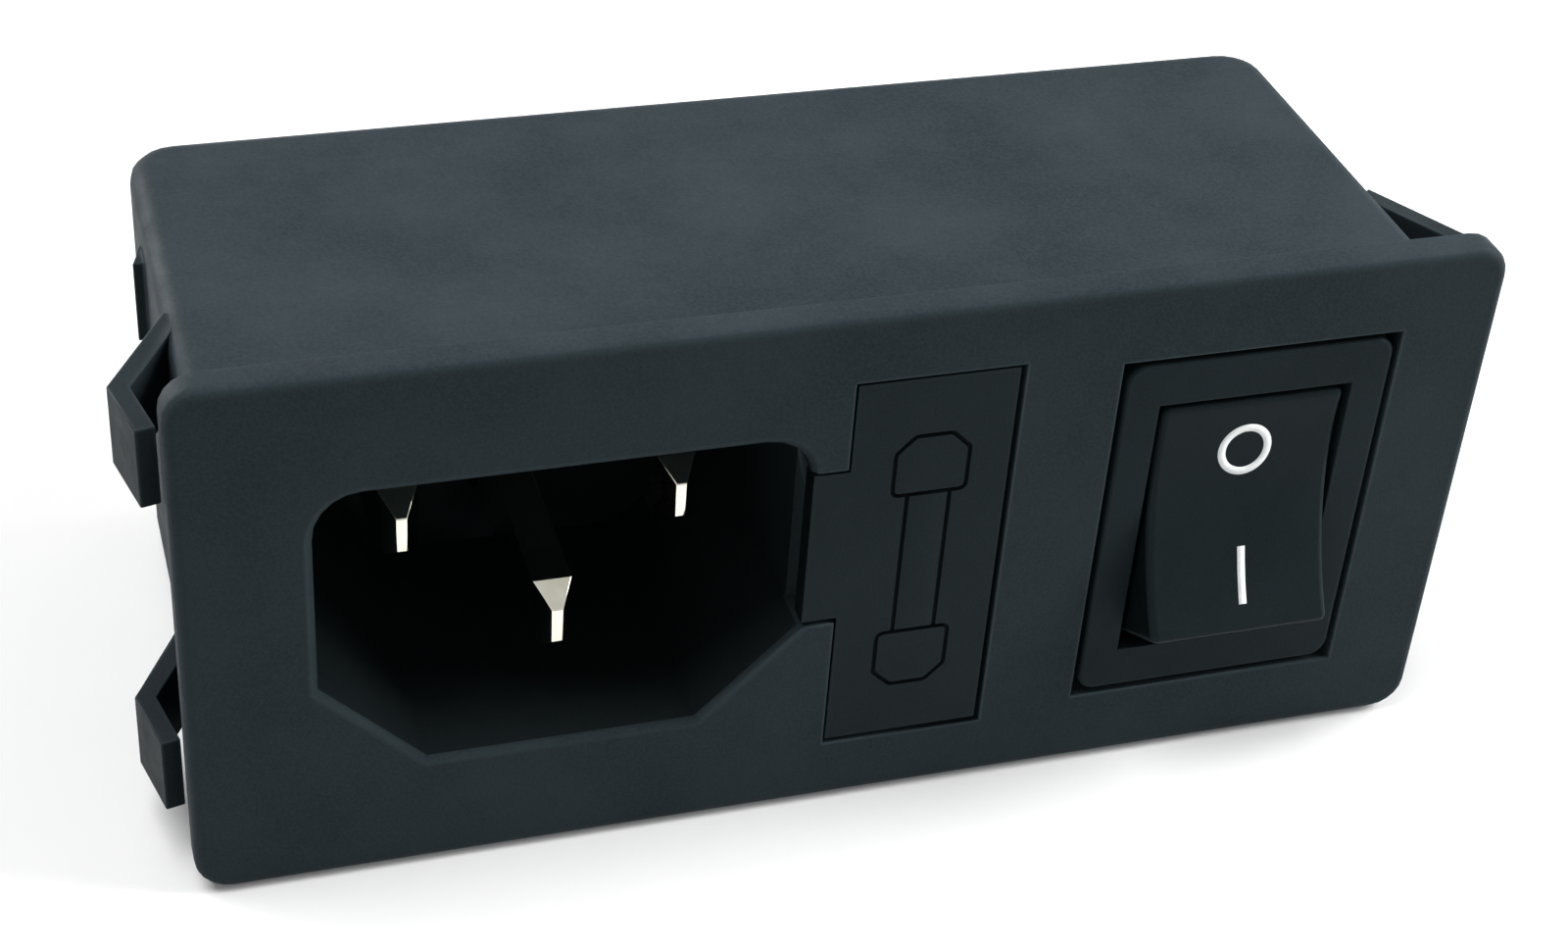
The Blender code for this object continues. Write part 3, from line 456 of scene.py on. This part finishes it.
def place_piece(name, bm, *looks):
    """Link a mesh with even shading over its flats and soft edges; unpainted faces have the first look."""
    order_faces(bm)
    mesh = bpy.data.meshes.new(name)
    bm.to_mesh(mesh)
    bm.free()
    for look in looks:
        mesh.materials.append(look)
    mesh.shade_smooth()
    mesh.set_sharp_from_angle(angle=math.radians(CREASE_ANGLE))
    piece = bpy.data.objects.new(name, mesh)
    bpy.context.scene.collection.objects.link(piece)
    return piece


def settle(piece, weighted=True):
    """Turn the piece's modifiers into plain mesh."""
    if weighted:
        piece.modifiers.new("even_shading", "WEIGHTED_NORMAL").keep_sharp = True
    graph = bpy.context.evaluated_depsgraph_get()
    mesh = bpy.data.meshes.new_from_object(piece.evaluated_get(graph), preserve_all_data_layers=True,
                                           depsgraph=graph)
    piece.modifiers.clear()
    piece.data = mesh
    mesh.name = piece.name
    return piece


def hang(piece, body, slot, *nodes):
    """The piece rides on its body and stands for its CAD nodes."""
    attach(piece, body)
    if nodes:
        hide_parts(*nodes)


def on_face(point):
    """On the front face of the flange."""
    return abs(point.y - FACE_Y) < FACE_SKIN


def outside_shell(point):
    """On the outside of the shell: the arms, their roots, the teeth and the edges of the rear face."""
    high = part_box("rear_shell")[1]
    return abs(point.x) > high.x - ARM_STEP or point.y > high.y - REAR_SKIN


def make_front(look):
    """Flange with a paler outer edge that is painted light, soft edges round its openings, and a well with
    smooth walls in painted shade.
    """
    bm = read_node("front_frame")
    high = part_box("front_frame")[1]
    well_x = sum(corner.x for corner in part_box("earth_pin")) / 2
    slot_low, slot_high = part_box("fuse_drawer")

    def near_drawer(point):
        return slot_low.x + FACE_EDGE < point.x < slot_high.x + 2 * FACE_EDGE

    def well_wall(point, _):
        across = abs(point.x - well_x) < WELL_HALF_WIDTH and abs(point.z) < WELL_HALF_HEIGHT
        return across and point.y > FACE_Y + WELL_LIP

    def rim_side(point, way):
        near_rim = abs(point.x) > high.x - RIM_BAND or abs(point.z) > high.z - RIM_BAND
        outwards = point.x * way.x + point.z * way.z > 0
        return near_rim and outwards and abs(way.y) < RIM_SLOPE

    soften(bm, SLOT_EDGE, lambda point: on_face(point) and near_drawer(point), steps=1)
    soften(bm, FACE_EDGE, lambda point: on_face(point) and not near_drawer(point))
    # The well's walls take the darker well finish: painted shade
    paint(bm, well_wall)
    # The rim's outward faces take the paler shell finish: painted light where the rim faces up and out
    paint(bm, rim_side, finish=2)
    piece = settle(place_piece("front_moulding", bm, look["frame"], look["well"], look["shell"]))
    hang(piece, "module", "frame_plastic", "front_frame")


def make_rear(look):
    """Shell with its snap arms."""
    bm = read_node("rear_shell")
    soften(bm, SHELL_EDGE, outside_shell)
    arm_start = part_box("rear_shell")[1].x - ARM_STEP + ARM_SKIN
    paint(bm, lambda point, _: abs(point.x) > arm_start)
    piece = settle(place_piece("rear_moulding", bm, look["shell"], look["arm"]))
    hang(piece, "module", "shell_plastic", "rear_shell")


def make_switch_surround(look):
    """Bezel and box of the switch."""
    bm = read_node("switch_frame")
    soften(bm, BEZEL_EDGE, on_face)
    piece = settle(place_piece("switch_surround", bm, look["bezel"]))
    hang(piece, "module", "switch_plastic", "switch_frame")


def rocker_place():
    """Turn and shift from the rocker's own frame to its place at rest."""
    return Matrix.Translation(ROCKER_PIVOT) @ Matrix.Rotation(math.radians(-ROCKER_TILT), 4, "X")


def make_rocker_cap(look):
    """Rocker with round edges along its hollow face and its ends, and plain sides painted darker as painted
    shade.
    """
    bm = read_node("rocker")
    to_local = rocker_place().inverted()
    half = ROCKER_WIDTH / 2

    def outer_edge(point):
        local = to_local @ point
        side = abs(abs(local.x) - half) < ROCKER_SKIN
        end = abs(local.z) > ROCKER_CHORD / 2 - ROCKER_END and abs(local.x) < half
        return local.y < ROCKER_BACK and (side or end)

    soften(bm, ROCKER_EDGE, outer_edge, steps=3, clamp=False)
    # The rocker's sides take the darker side finish: painted shade
    paint(bm, lambda point, _: abs((to_local @ point).x) > half - ROCKER_SKIN)
    piece = settle(place_piece("rocker_cap", bm, look["rocker"], look["side"]))
    hang(piece, "rocker_body", "rocker_plastic", "rocker")


def make_blades(look):
    """Inlet blades with the fine round edges of coined tips."""
    for pin in ("line_pin", "neutral_pin", "earth_pin"):
        bm = read_node(pin)
        soften(bm, BLADE_EDGE, lambda point: point.y < BLADE_FREE)
        piece = settle(place_piece(pin.replace("pin", "blade"), bm, look["blade"]))
        hang(piece, "module", "blade_metal", pin)


# Lines that follow a path: the engraved sign and the printed marks

def add_input(tree, name, kind, value=None):
    """Named input of a node group."""
    socket = tree.interface.new_socket(name=name, in_out="INPUT", socket_type=kind)
    if value is not None:
        socket.default_value = value


def line_tree(name, on_hollow):
    """Geometry Nodes: a strip of even width along drawn paths, laid flat or on the rocker's hollow face."""
    tree = bpy.data.node_groups.new(name, "GeometryNodeTree")
    tree.interface.new_socket(name="Geometry", in_out="OUTPUT", socket_type="NodeSocketGeometry")
    add_input(tree, "Geometry", "NodeSocketGeometry")
    add_input(tree, "Line width", "NodeSocketFloat", SIGN_LINE)
    add_input(tree, "Thickness", "NodeSocketFloat", SIGN_DEPTH)
    add_input(tree, "Corner", "NodeSocketFloat", SIGN_CORNER)
    add_input(tree, "Hollow radius", "NodeSocketFloat", 1.0)
    add_input(tree, "Hollow floor", "NodeSocketFloat", 0.0)
    add_input(tree, "Material", "NodeSocketMaterial")
    given = add_node(tree, "NodeGroupInput").outputs
    curve = add_node(tree, "GeometryNodeMeshToCurve", {"Mesh": given["Geometry"]}).outputs[0]
    rounding = {"Curve": curve, "Count": CORNER_STEPS, "Radius": given["Corner"], "Limit Radius": True}
    curve = add_node(tree, "GeometryNodeFilletCurve", rounding, mode="POLY").outputs[0]
    curve = add_node(tree, "GeometryNodeSetCurveNormal", {"Curve": curve}, mode="Z_UP").outputs[0]
    section = add_node(tree, "GeometryNodeCurvePrimitiveQuadrilateral",
                       {"Width": given["Line width"], "Height": given["Thickness"]}).outputs[0]
    strip = add_node(tree, "GeometryNodeCurveToMesh",
                     {"Curve": curve, "Profile Curve": section, "Fill Caps": True}).outputs[0]
    if on_hollow:
        place = add_node(tree, "GeometryNodeInputPosition").outputs[0]
        parts = add_node(tree, "ShaderNodeSeparateXYZ", {0: place}).outputs
        square = add_math(tree, "MULTIPLY", given["Hollow radius"], given["Hollow radius"])
        rest = add_math(tree, "SUBTRACT", square, add_math(tree, "MULTIPLY", parts["Y"], parts["Y"]))
        sag = add_math(tree, "SUBTRACT", add_math(tree, "SQRT", rest), given["Hollow radius"])
        deep = add_math(tree, "ADD", add_math(tree, "ADD", sag, given["Hollow floor"]), parts["Z"])
        laid = add_node(tree, "ShaderNodeCombineXYZ", {"X": parts["X"], "Y": deep, "Z": parts["Y"]})
        strip = add_node(tree, "GeometryNodeSetPosition",
                         {"Geometry": strip, "Position": laid.outputs[0]}).outputs[0]
    whole = add_node(tree, "GeometryNodeRealizeInstances", {0: strip}).outputs[0]
    done = add_node(tree, "GeometryNodeSetMaterial", {"Geometry": whole, "Material": given["Material"]})
    add_node(tree, "NodeGroupOutput", {"Geometry": done.outputs[0]})
    return tree


def run_tree(name, tree, paths, **values):
    """Plain mesh object of the tree run over drawn paths, each a list of points and whether it closes."""
    mesh = bpy.data.meshes.new(name)
    points, edges = [], []
    for path, closed in paths:
        first = len(points)
        points += [(x, y, 0.0) for x, y in path]
        edges += [(first + i, first + i + 1) for i in range(len(path) - 1)]
        if closed:
            edges.append((len(points) - 1, first))
    mesh.from_pydata(points, edges, [])
    piece = bpy.data.objects.new(name, mesh)
    bpy.context.scene.collection.objects.link(piece)
    step = piece.modifiers.new("line", "NODES")
    step.node_group = tree
    named = {s.name: s for s in tree.interface.items_tree if s.in_out == "INPUT"}
    for key, value in values.items():
        step[named[key.replace("_", " ")].identifier] = value
    return settle(piece, weighted=False)


def sign_paths():
    """Outlines of the fuse sign about the drawer's middle."""
    bar, cap = SIGN_BAR / 2, SIGN_CAP / 2
    paths = []
    for side in (1, -1):
        low, high = side * SIGN_CAP_LOW, side * SIGN_CAP_HIGH
        shoulder = side * (SIGN_CAP_HIGH - SIGN_CHAMFER)
        paths.append(([(-cap, low), (-cap, shoulder), (SIGN_CHAMFER - cap, high),
                       (cap - SIGN_CHAMFER, high), (cap, shoulder), (cap, low)], True))
    for x in (-bar, bar):
        paths.append(([(x, -SIGN_CAP_LOW), (x, SIGN_CAP_LOW)], False))
    return paths


def close_drawer_gap(bm, top):
    """Move the left and upper edges of the drawer's front outwards, to the narrow gap in the photograph."""
    front = [v for v in bm.verts if on_face(v.co)]
    plate_left = min(v.co.x for v in front if v.co.z > top - SAME_POINT)
    for vert in front:
        if abs(vert.co.x - plate_left) < SAME_POINT:
            vert.co.x -= DRAWER_CLOSE
        if vert.co.z > 0:
            vert.co.z += DRAWER_CLOSE


def engrave(piece, cutter):
    """Cut the cutter out of the piece, which takes the cutter's finish there."""
    step = piece.modifiers.new("engrave", "BOOLEAN")
    step.operation = "DIFFERENCE"
    step.solver = "EXACT"
    step.material_mode = "TRANSFER"
    step.use_self = True
    step.object = cutter
    settle(piece)
    bpy.data.objects.remove(cutter)


def make_drawer(look):
    """Drawer front and carriage with the fuse sign engraved in the face; its left face and the sign's
    grooves are painted darker as painted shade.
    """
    bm = read_node("fuse_drawer")
    low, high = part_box("fuse_drawer")
    close_drawer_gap(bm, high.z)
    soften(bm, DRAWER_EDGE, on_face, steps=1)
    # The drawer's left face takes the darker side finish: painted shade
    paint(bm, lambda point, _: point.x < low.x + SAME_POINT)
    piece = place_piece("drawer_moulding", bm, look["drawer"], look["side"])
    tree = line_tree("engraved_line", False)
    # The sign's grooves take the darker side finish: painted shade in the engraving
    cutter = run_tree("sign_cutter", tree, sign_paths(), Line_width=SIGN_LINE, Thickness=2 * SIGN_DEPTH,
                      Corner=SIGN_CORNER, Material=look["side"])
    place = Matrix.Translation((SIGN_X, FACE_Y, 0.0)) @ Matrix.Rotation(math.radians(90), 4, "X")
    cutter.data.transform(place)
    engrave(piece, cutter)
    hang(piece, "drawer", "drawer_plastic", "fuse_drawer")


def ring(x, up, radius):
    """Closed circle of points."""
    turns = [2 * math.pi * i / RING_STEPS for i in range(RING_STEPS)]
    return [(x + radius * math.cos(t), up + radius * math.sin(t)) for t in turns]


def make_marks(look):
    """O and I printed on the rocker's hollow face."""
    tree = line_tree("printed_line", True)
    half = ROCKER_CHORD / 2
    radius = (half ** 2 + ROCKER_HOLLOW ** 2) / (2 * ROCKER_HOLLOW)
    deepest = ROCKER_HOLLOW - ROCKER_RISE
    circle = ring(RING_X, RING_UP, RING_RADIUS)
    bar = [(BAR_X, BAR_UP - BAR_LENGTH * i / BAR_STEPS) for i in range(BAR_STEPS + 1)]
    for name, path in (("mark_o", (circle, True)), ("mark_i", (bar, False))):
        mark = run_tree(name, tree, [path], Line_width=MARK_LINE, Thickness=MARK_THICKNESS, Corner=0.0,
                        Hollow_radius=radius, Hollow_floor=deepest + MARK_THICKNESS / 2 - MARK_PROUD,
                        Material=look["ink"])
        mark.data.transform(rocker_place())
        hang(mark, "rocker_body", "rocker_plastic")


def dress_nodes(look):
    """Give the pieces inside the module their finish."""
    for finish, names in INNER_PIECES.items():
        for name in names:
            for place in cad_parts[name].material_slots:
                place.material = look[finish]


# Table, light and camera

def table_finish():
    """Pale matt table, whiter far from the module and a little dimmer in the light it throws back."""
    made, tree, shader, place = start_material("pale_table")
    grain = add_noise(tree, place, size=6 * MM, detail=4.0)
    seen = add_seen_share(tree)
    tone = add_mix(tree, seen, TABLE_BOUNCE, add_mix(tree, grain, *TABLE_TONES))
    bump = add_bump(tree, grain, strength=0.05, depth=0.05 * MM)
    away = add_node(tree, "ShaderNodeVectorMath", {0: place}, operation="LENGTH").outputs["Value"]
    glow = add_math(tree, "MULTIPLY", add_range(tree, away, *TABLE_FADE, *TABLE_GLOW), seen)
    roughness = add_range(tree, grain, *NOISE_SPREAD, *TABLE_ROUGH)
    shader.inputs["Emission Color"].default_value = (1.0, 1.0, 1.0, 1.0)
    shader.inputs["Specular IOR Level"].default_value = TABLE_GLOSS
    feed(tree, shader, Base_Color=tone, Roughness=roughness, Normal=bump, Emission_Strength=glow)
    return made


def make_table():
    """Table under the flange's lower edge and the shell's lower rear edge."""
    bm = bmesh.new()
    bmesh.ops.create_grid(bm, x_segments=1, y_segments=1, size=TABLE_SIZE / 2)
    bm.transform(Matrix.Translation(TABLE_POINT) @ Matrix.Rotation(math.radians(TABLE_TILT), 4, "X"))
    mesh = bpy.data.meshes.new("table")
    bm.to_mesh(mesh)
    bm.free()
    mesh.materials.append(table_finish())
    table = bpy.data.objects.new("table", mesh)
    bpy.context.scene.collection.objects.link(table)


def make_world():
    """White to the camera, a pale room in gloss and through glass, and an even room light for the rest."""
    world = bpy.data.worlds.new("studio")
    bpy.context.scene.world = world
    world.use_nodes = True
    tree = world.node_tree
    direct = add_node(tree, "ShaderNodeLightPath").outputs["Is Camera Ray"]
    room = add_range(tree, add_seen_share(tree), 0.0, 1.0, ROOM_LIGHT, ROOM_GLOSS)
    strength = add_math(tree, "MAXIMUM", room, direct)
    sky = tree.nodes["Background"]
    sky.inputs["Color"].default_value = (1.0, 1.0, 1.0, 1.0)
    tree.links.new(strength, sky.inputs["Strength"])


def add_lamp(name, place, size, power, falls):
    """Square soft light aimed at the module; one that doesn't fall on it shows only in its gloss."""
    light = bpy.data.lights.new(name, "AREA")
    light.shape = "SQUARE"
    light.size = size
    light.energy = power
    lamp = bpy.data.objects.new(name, light)
    lamp.location = place
    lamp.visible_diffuse = falls
    lamp.rotation_euler = (LAMP_AIM - Vector(place)).to_track_quat("-Z", "Y").to_euler()
    bpy.context.scene.collection.objects.link(lamp)


def make_camera():
    """Camera at the photograph's place, for a picture of 1600 by 969."""
    view = bpy.data.cameras.new("camera")
    view.lens = LENS
    view.clip_start = CAMERA_NEAR
    view.clip_end = CAMERA_FAR
    camera = bpy.data.objects.new("camera", view)
    camera.location = CAMERA_PLACE
    camera.rotation_euler = [math.radians(a) for a in CAMERA_TURN]
    bpy.context.scene.collection.objects.link(camera)
    bpy.context.scene.camera = camera


look = make_materials()
make_front(look)
make_rear(look)
make_switch_surround(look)
make_rocker_cap(look)
make_blades(look)
make_drawer(look)
make_marks(look)
dress_nodes(look)
make_table()
make_world()
for lamp in LAMPS:
    add_lamp(*lamp)
make_camera()
bpy.context.scene.view_settings.view_transform = "Standard"
